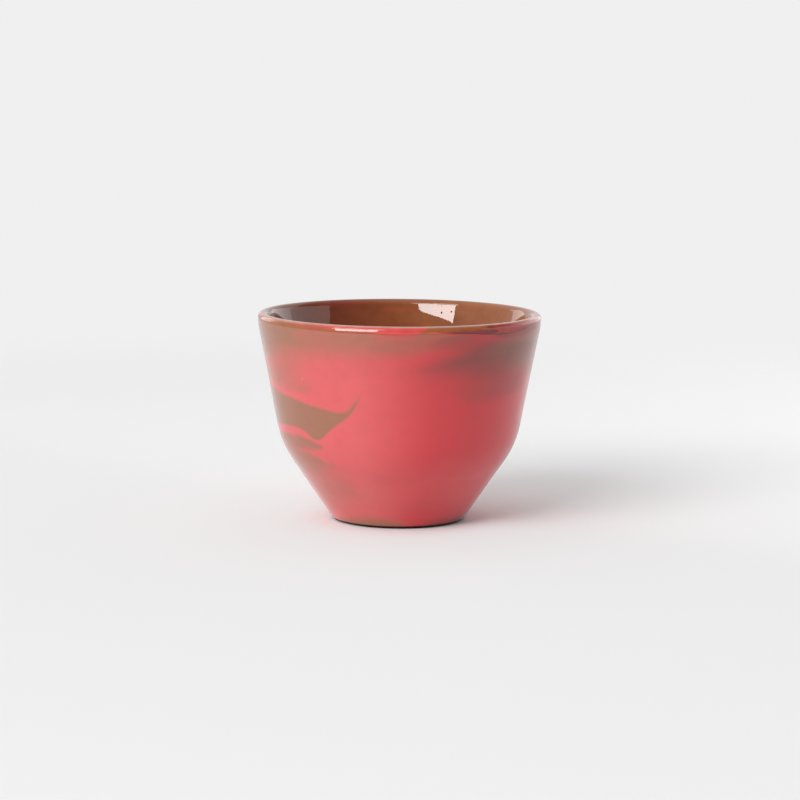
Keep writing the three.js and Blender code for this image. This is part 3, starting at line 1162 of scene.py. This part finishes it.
@dataclass(frozen=True)
class PalePaper:
    """Matt studio paper, for the floor and the sweep behind the cup. Lengths are in millimetres.

    Its far part is seen as evenly lit, and from below it isn't seen at all.

    Attributes:
        colour: Of the paper.
        far_colour: What is seen of the far part.
        far_ease: Distances from the cup's axis at which that part begins and is complete.
        lit_colour, lit_share: Painted light: a glow seen on the floor on the lit side of the cup, over its
            own
        shade and the red bounced onto it, and how much of it.
        lit_ease: Distances from the cup's axis at which that side begins and is complete.
        shade_way: The direction in which the shadow falls.
        shade_ease: How much that way a place may lie where the lit side begins and is complete.
        tooth, tooth_relief: The paper's tooth, and its height.
        roughness, specular: Of the paper.
    """

    colour: Colour = (0.88, 0.88, 0.88, 1.0)
    far_colour: Colour = (0.87, 0.87, 0.87, 1.0)
    far_ease: Ease = (220.0, 560.0)
    lit_colour: Colour = (0.81, 0.81, 0.81, 1.0)
    lit_share: float = 0.50
    lit_ease: Ease = (21.2, 36.0)
    shade_way: Tuple[float, float] = (0.579, 0.815)
    shade_ease: Ease = (0.45, -0.05)
    tooth: Cloud = Cloud(1.2)
    tooth_relief: float = 0.01
    roughness: float = 0.9
    specular: float = 0.2

    def material(self) -> bpy.types.Material:
        """Builds the material: pale, with a faint tooth, and glowing to the eye but not as a lamp.

        Returns:
            The material.
        """
        surface = Surface("studio_paper")
        paper = surface.principled({
            "Base Color": self.colour,
            "Roughness": self.roughness,
            "Specular IOR Level": self.specular,
            "Normal": surface.bump(self.tooth_relief * self.tooth.over(surface)),
        })
        rays = surface.node("ShaderNodeLightPath").outputs
        seen = Value(surface, rays["Is Camera Ray"])
        for ray in ("Is Glossy Ray", "Is Transmission Ray"):
            seen = surface.math("MAXIMUM", seen, Value(surface, rays[ray]))
        away = surface.radius
        shade_x, shade_y = self.shade_way
        towards_shade = (surface.x * shade_x + surface.y * shade_y) / (away + self.lit_ease[0])
        # Painted light: near the cup, the floor on its lit side glows to the eye.
        lit = surface.smooth(away, *self.lit_ease) * surface.smooth(towards_shade, *self.shade_ease)
        far = surface.smooth(away, *self.far_ease)
        colour = surface.blend(far, self.lit_colour, self.far_colour)
        glow = surface.node("ShaderNodeEmission", inputs={"Color": colour, "Strength": 1.0})
        glowing = seen * surface.math("MAXIMUM", far, lit * self.lit_share)
        below = surface.node("ShaderNodeNewGeometry").outputs["Backfacing"]
        unseen = surface.node("ShaderNodeBsdfTransparent").outputs["BSDF"]
        above = surface.mixed(glowing, paper, glow.outputs["Emission"])
        return surface.finished(surface.mixed(below, above, unseen))


@dataclass
class ClayBody:
    """The slip-cast cup, with the slight unevenness of a cast and rubbed wall. Lengths are in millimetres.

    Attributes:
        form: The casting's sizes.
        turns: Points round the axis.
        row_step: Distance between rows.
        uneven: How far the wall strays from a true turning.
        even_reach: Distance from the axis within which that dies out.
        WAVES: (share, times round, phase in radians, turn in radians for each millimetre of height) of the
            waves by which it strays.
    """

    WAVES: ClassVar[Sequence[Tuple[float, int, float, float]]] = (
        (1.0, 2, 0.6, 0.0),
        (0.6, 3, -1.1, 0.08),
        (0.5, 5, 0.0, 0.2),
    )

    form: CupForm
    turns: int = 320
    row_step: float = 0.9
    uneven: float = 0.05
    even_reach: float = 10.0

    def build(self) -> bpy.types.Object:
        """Turns the casting's outline; the outside strays by a sum of cosines that fades out at foot and lip.

        Returns:
            The piece.
        """
        outline = self.form.outline()
        distance = outline.rows(0.0, outline.length, self.row_step)[:, None]
        azimuth = np.linspace(0.0, math.tau, self.turns, endpoint=False)[None, :]
        r, z, nr, nz = outline.at(distance)
        fade = np.sin(np.clip(z / self.form.height, 0.0, 1.0) * math.pi) * (distance < outline.lip)
        waves = sum(
            share * np.cos(times * azimuth + phase + turn * z) for share, times, phase, turn in self.WAVES
        )
        stray = self.uneven * waves * fade * np.clip(r / self.even_reach, 0.0, 1.0)
        return closed_piece("marbled_cup", turned_rings(r + nr * stray, z + nz * stray, azimuth))

    def dress(self, piece: bpy.types.Object) -> None:
        """Gives the piece its finish and its place in the frame.

        Args:
            piece: The built piece.
        """
        piece.data.materials.append(SatinClay().material())
        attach(piece, ROOT)
        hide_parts("clay_body")


@dataclass
class GlazeLiner:
    """The glaze coat: over the inside and the lip, down to a line that wanders and runs.

    Lengths are in millimetres, and azimuths, spreads and leans in degrees.

    Attributes:
        form: The casting's sizes.
        thickness: Of the coat.
        seat: Between the clay and the coat.
        lap: Depth of the glaze line below the top of the clay lip.
        wave, waves, wave_azimuth: How far the line wanders, how often in a turn, and where it is low.
        run, run_azimuth, run_spread: How much lower it hangs where the glaze ran, where, and how far to each
            side.
        crown_thin, crown_reach: How much thinner it grows over the lip, as a share, and over what distance.
        bead_lean, bead_reach: The upward lean that its face keeps down to the crest of a soft bead under the
            lip, and how far the crest lies from the lip.
        bead_azimuth, bead_spread: Where the bead is full, and how far to each side it fades out.
        edge_share: How thick the coat still is along the line, as a share; it keeps its thickness at the run.
        edge_round: Width of the rounded edge along the line.
        inside_gain, inside_reach: How much thicker it grows inside the lip, as a share, and over what
            distance.
        ripple, ripple_reach: How far the coat's thickness strays, and the distance from the axis within
            which that dies out.
        pool_width, run_pool_width: Of the darker band along the line, away from the run, and what the run
            adds.
        turns: Points round the axis.
        row_step: Distance between rows.
        lap_rows: Rows from the top of the lip to the line.
        lap_gather: Power by which those rows gather towards the line.
        SEARCH, SEARCH_POINTS: How far down the outside the line is looked for, as a multiple of lap and run,
            and at how many points.
        BEAD_POINTS: Points at which the bead's swell is summed up.
    """

    SEARCH: ClassVar[float] = 3.0
    SEARCH_POINTS: ClassVar[int] = 400
    BEAD_POINTS: ClassVar[int] = 150

    form: CupForm
    thickness: float = 0.2
    seat: float = 0.03
    lap: float = 1.8
    wave: float = 0.2
    waves: int = 3
    wave_azimuth: float = 0.0
    run: float = 1.45
    run_azimuth: float = 47.0
    run_spread: float = 26.0
    crown_thin: float = 0.5
    crown_reach: float = 1.45
    bead_lean: float = 16.0
    bead_reach: float = 2.0
    bead_azimuth: float = -18.0
    bead_spread: float = 56.0
    edge_share: float = 0.40
    edge_round: float = 0.18
    inside_gain: float = 1.30
    inside_reach: float = 8.5
    ripple: float = 0.003
    ripple_reach: float = 12.0
    pool_width: float = 0.3
    run_pool_width: float = 1.7
    turns: int = 264
    row_step: float = 0.9
    lap_rows: int = 46
    lap_gather: float = 1.5

    def _hump(self, azimuth: np.ndarray, middle: float, spread: float) -> np.ndarray:
        """One cosine hump: 1 at its middle, 0 from its ends on.

        Args:
            azimuth: Azimuths, in radians.
            middle: Azimuth of the middle, in degrees.
            spread: From the middle to each end, in degrees.

        Returns:
            The hump at each azimuth.
        """
        away = np.abs((np.degrees(azimuth) - middle + 180) % 360 - 180)
        return 1.0 - self._eased(away / spread)

    def run_hump(self, azimuth: np.ndarray) -> np.ndarray:
        """The hump where the glaze ran."""
        return self._hump(azimuth, self.run_azimuth, self.run_spread)

    def line_depth(self, azimuth: np.ndarray) -> np.ndarray:
        """Depth of the glaze line under the top of the clay: the lap, a cosine wave and the run's hump."""
        wave = self.wave * np.cos(self.waves * (azimuth - math.radians(self.wave_azimuth)))
        return self.lap + wave + self.run * self.run_hump(azimuth)

    def build(self) -> bpy.types.Object:
        """Lays a skin on the clay that ends in a bead under the lip and is rounded off along the glaze line.

        A row is a distance along the casting's line. From the floor to the lip the rows are the same all
        round, and from the lip to the glaze line they share out the distance that each azimuth has.

        Returns:
            The piece.
        """
        outline = self.form.outline()
        lip = outline.lip
        azimuth = np.linspace(0.0, math.tau, self.turns, endpoint=False)[None, :]
        outside = np.linspace(lip, lip - self.SEARCH * (self.lap + self.run), self.SEARCH_POINTS)
        heights = outline.at(outside)[1]
        edge = np.interp(self.line_depth(azimuth), heights[0] - heights, outside)
        inside = outline.rows(lip, outline.length, self.row_step)[::-1, None]
        share = 1.0 - (1.0 - np.linspace(0.0, 1.0, self.lap_rows + 1)[1:, None]) ** self.lap_gather
        distance = np.concatenate([inside + 0.0 * azimuth, lip + (edge - lip) * share])
        r, z, nr, nz = outline.at(distance)
        height = self._height(outline, distance, edge, azimuth) + self._ripples(distance, azimuth, r)
        height = height * self._rounded((distance - edge) / self.edge_round)
        under_r, under_z = r + nr * self.seat, z + nz * self.seat
        face_r, face_z = under_r + nr * height, under_z + nz * height
        piece = closed_piece("glaze_liner", turned_rings(
            np.concatenate([under_r, face_r[-2::-1]]), np.concatenate([under_z, face_z[-2::-1]]), azimuth
        ))
        pool = self.pool_width + self.run_pool_width * np.sqrt(self.run_hump(azimuth))
        from_edge = (distance - edge) / pool
        from_edge = np.concatenate([from_edge, from_edge[-2::-1]])[1:-1]
        line = piece.data.attributes.new(ClearGlaze.LINE, "FLOAT", "POINT")
        line.data.foreach_set("value", np.pad(from_edge.ravel(), 1, constant_values=outline.length))
        return piece

    def _height(
        self, outline: Outline, distance: np.ndarray, edge: np.ndarray, azimuth: np.ndarray
    ) -> np.ndarray:
        """The coat's thickness.

        Over the lip it thins by half a cosine wave. Where the clay turns steeper than the bead's lean, it
        swells by the tangent of what is missing, so that its face keeps that lean down to the crest, and from
        there it falls to the line. Inside it grows by half a cosine wave.

        Args:
            outline: The casting's line.
            distance: Distances along that line, by row and azimuth.
            edge: The glaze line's distance at each azimuth.
            azimuth: Azimuths, in radians.

        Returns:
            The thickness at each point.
        """
        down = outline.lip - distance
        fine = np.linspace(0.0, self.bead_reach, self.BEAD_POINTS)
        _, _, nr, nz = outline.at(outline.lip - fine)
        slope = np.tan(np.maximum(0.0, math.radians(self.bead_lean) - np.arctan2(nz, nr)))
        swell = np.concatenate([[0.0], np.cumsum((slope[1:] + slope[:-1]) / 2 * np.diff(fine))])
        crown = self.thickness * (1.0 - self.crown_thin * self._eased(down / self.crown_reach))
        kept = self.edge_share + (1.0 - self.edge_share) * self.run_hump(azimuth)
        fall = self._eased((down - self.bead_reach) / (outline.lip - edge - self.bead_reach))
        bead = self._hump(azimuth, self.bead_azimuth, self.bead_spread) * np.interp(down, fine, swell)
        outside = (crown + bead) * (1.0 - (1.0 - kept) * fall)
        return outside * (1.0 + self.inside_gain * self._eased(-down / self.inside_reach))

    @staticmethod
    def _eased(share: np.ndarray) -> np.ndarray:
        """Half a cosine wave from 0 to 1, and level beyond."""
        return 0.5 - 0.5 * np.cos(math.pi * np.clip(share, 0.0, 1.0))

    def _ripples(self, distance: np.ndarray, azimuth: np.ndarray, r: np.ndarray) -> np.ndarray:
        """What crossing slow waves add to the coat's thickness.

        One sine goes 7 times round, leans along the line, and swells and fades by a sine along the line that
        wanders 3 times round. To it is added 0.7 of a sine that goes 13 times round and leans the other way.
        Both die out at the axis.

        Args:
            distance: Distances along the casting's line, by row and azimuth.
            azimuth: Azimuths, in radians.
            r: Radius at each point.

        Returns:
            The waves' height at each point.
        """
        waves = np.sin(7 * azimuth + 0.31 * distance) * np.sin(0.45 * distance + 2 * np.cos(3 * azimuth))
        waves = waves + 0.7 * np.sin(13 * azimuth - 0.37 * distance + 1.0)
        return self.ripple * waves * np.clip(r / self.ripple_reach, 0.0, 1.0)

    @staticmethod
    def _rounded(share: np.ndarray) -> np.ndarray:
        """A quarter circle from 0 at the edge to 1, and 1 from there on."""
        return np.sqrt(1.0 - (1.0 - np.clip(share, 0.0, 1.0)) ** 2)

    def dress(self, piece: bpy.types.Object) -> None:
        """Gives the piece its finish and its place in the frame.

        Args:
            piece: The built piece.
        """
        outline = self.form.outline()
        crown_radius = float(outline.at(np.array([outline.lip]))[0][0])
        piece.data.materials.append(ClearGlaze(crown_radius, self.form.height).material())
        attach(piece, ROOT)
        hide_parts("liner_glaze")


@dataclass(frozen=True)
class Softbox:
    """A rectangular soft lamp that faces the cup.

    Attributes:
        name: The lamp's name.
        azimuth: Where it stands round the cup, in degrees.
        elevation: Its middle above the horizon, in degrees.
        distance: From the cup, in metres.
        width: In metres.
        height: In metres.
        radiance: Brightness of its face, where 1 is the white of the picture.
        tilt: How far it leans round its own axis, in degrees.
        aim: The point that it faces, in metres.
    """

    name: str
    azimuth: float
    elevation: float
    distance: float
    width: float
    height: float
    radiance: float
    tilt: float = 0.0
    aim: Tuple[float, float, float] = (0.0, 0.0, 0.04)

    def place(self) -> None:
        """Makes the lamp, at its distance from the point that it faces."""
        lamp = bpy.data.lights.new(self.name, "AREA")
        lamp.shape = "RECTANGLE"
        lamp.size, lamp.size_y = self.width, self.height
        lamp.energy = self.radiance * math.pi * self.width * self.height
        around, above = math.radians(self.azimuth), math.radians(self.elevation)
        away = Vector((
            math.sin(around) * math.cos(above), -math.cos(around) * math.cos(above), math.sin(above)
        ))
        turn = (-away).to_track_quat("-Z", "Y").to_matrix().to_4x4()
        lamp_object = bpy.data.objects.new(self.name, lamp)
        lamp_object.matrix_world = (
            Matrix.Translation(Vector(self.aim) + away * self.distance)
            @ turn
            @ Matrix.Rotation(math.radians(self.tilt), 4, "Z")
        )
        lamp_object.visible_camera = False
        bpy.context.collection.objects.link(lamp_object)


@dataclass(frozen=True)
class Studio:
    """Pale paper that runs from the floor up behind the cup, soft lamps, a dome of light and a camera.

    Lengths are in metres and angles in radians, but the lens and its sensor are in millimetres.

    Attributes:
        floor_reach: From the cup to the floor's front and sides.
        sweep_start, sweep_round, sweep_top: Where the paper begins to rise, by what radius, and how high.
        lamps: The soft lamps.
        dome_top: The direction in which the dome is brightest.
        dome_ease: How nearly that way the dome begins to brighten and is brightest.
        dome_light, dome_shade: Its strength there, and on the other side.
        dome_seen: Its strength where the camera looks past the paper.
        camera_place, camera_pitch, camera_roll: Of the camera.
        camera_lens, camera_sensor: Its focal length and the width of its sensor.
        FLOOR_ROWS, SWEEP_ROWS, COLUMNS: Points along the paper's parts and across it.
    """

    FLOOR_ROWS: ClassVar[int] = 12
    SWEEP_ROWS: ClassVar[int] = 24
    COLUMNS: ClassVar[int] = 9

    floor_reach: float = 3.0
    sweep_start: float = 1.0
    sweep_round: float = 0.6
    sweep_top: float = 2.2
    lamps: Tuple[Softbox, ...] = (
        Softbox("key_softbox", -36.5, 24.4, distance=2.6, width=1.56, height=0.50, radiance=11.5, tilt=13.0),
        Softbox("over_softbox", -38.0, 39.0, distance=2.6, width=1.80, height=0.80, radiance=4.6),
        Softbox("right_panel", 118.0, 14.0, distance=0.50, width=1.00, height=0.27, radiance=0.9),
        Softbox("left_panel", -138.0, 12.0, distance=1.3, width=0.56, height=0.62, radiance=1.4),
    )
    dome_top: Tuple[float, float, float] = (-0.60, 0.18, 0.78)
    dome_ease: Ease = (-0.05, 0.90)
    dome_light: float = 0.78
    dome_shade: float = 0.22
    dome_seen: float = 0.87
    camera_place: Tuple[float, float, float] = (0.00037, -0.8863, 0.1573)
    camera_pitch: float = 0.1339
    camera_roll: float = 0.0083
    camera_lens: float = 126.46
    camera_sensor: float = 36.0

    def build(self) -> None:
        """Makes the paper, the lamps, the world's light and the camera."""
        self._paper()
        for lamp in self.lamps:
            lamp.place()
        self._world()
        self._camera()

    def _paper(self) -> None:
        """Carries a section along X: flat, then a quarter round, then straight up behind the cup."""
        angle = np.linspace(0.0, math.pi / 2, self.SWEEP_ROWS)
        flat = np.linspace(-self.floor_reach, self.sweep_start, self.FLOOR_ROWS)[:-1]
        back = self.sweep_start + self.sweep_round
        y = np.concatenate([flat, self.sweep_start + self.sweep_round * np.sin(angle), [back]])
        z = np.concatenate([0.0 * flat, self.sweep_round * (1 - np.cos(angle)), [self.sweep_top]])
        x = np.linspace(self.floor_reach, -self.floor_reach, self.COLUMNS)
        points = np.stack(np.broadcast_arrays(x, y[:, None], z[:, None]), axis=2)
        index = np.arange(y.size * x.size).reshape(y.size, x.size)
        quads = np.stack([index[:-1, :-1], index[1:, :-1], index[1:, 1:], index[:-1, 1:]], axis=2)
        paper = smooth_piece("studio_paper", points.reshape(-1, 3), quads.reshape(-1, 4).tolist())
        paper.data.materials.append(PalePaper().material())

    def _world(self) -> None:
        """Lights the cup from a dome, brightest at the upper left, that the camera sees as even."""
        world = bpy.data.worlds.new("studio_dome")
        world.use_nodes = True
        shader = Shader(world.node_tree)
        way = shader.node("ShaderNodeTexCoord").outputs["Generated"]
        ways = {"Vector": way, "Vector_001": self.dome_top}
        near_top = shader.node("ShaderNodeVectorMath", {"operation": "DOT_PRODUCT"}, ways).outputs["Value"]
        share = shader.smooth(Value(shader, near_top), *self.dome_ease)
        strength = self.dome_shade + (self.dome_light - self.dome_shade) * share
        seen = Value(shader, shader.node("ShaderNodeLightPath").outputs["Is Camera Ray"])
        strength = strength + (self.dome_seen - strength) * seen
        inputs = {"Color": (1.0, 1.0, 1.0, 1.0), "Strength": strength}
        light = shader.node("ShaderNodeBackground", inputs=inputs)
        shader.node("ShaderNodeOutputWorld", inputs={"Surface": light.outputs["Background"]})
        bpy.context.scene.world = world

    def _camera(self) -> None:
        """Stands the camera in front of the cup, looking a little down, with a long lens."""
        lens = bpy.data.cameras.new("camera")
        lens.sensor_width = self.camera_sensor
        lens.lens = self.camera_lens
        camera = bpy.data.objects.new("camera", lens)
        camera.matrix_world = (
            Matrix.Translation(self.camera_place)
            @ Matrix.Rotation(math.pi / 2 - self.camera_pitch, 4, "X")
            @ Matrix.Rotation(self.camera_roll, 4, "Z")
        )
        bpy.context.collection.objects.link(camera)
        bpy.context.scene.camera = camera


def main() -> None:
    """Builds the studio and the cup's pieces in order."""
    logging.basicConfig(level=logging.INFO, format="%(name)s: %(message)s")
    bpy.context.scene.view_settings.view_transform = "Standard"
    Studio().build()
    low, high = CAD_BOX
    form = CupForm(rim_diameter=(high.x - low.x) / MM, height=(high.z - low.z) / MM)
    for part in (ClayBody(form), GlazeLiner(form)):
        piece = part.build()
        part.dress(piece)
        LOG.info("%s: %d faces", piece.name, len(piece.data.polygons))


if __name__ == "__main__":
    main()
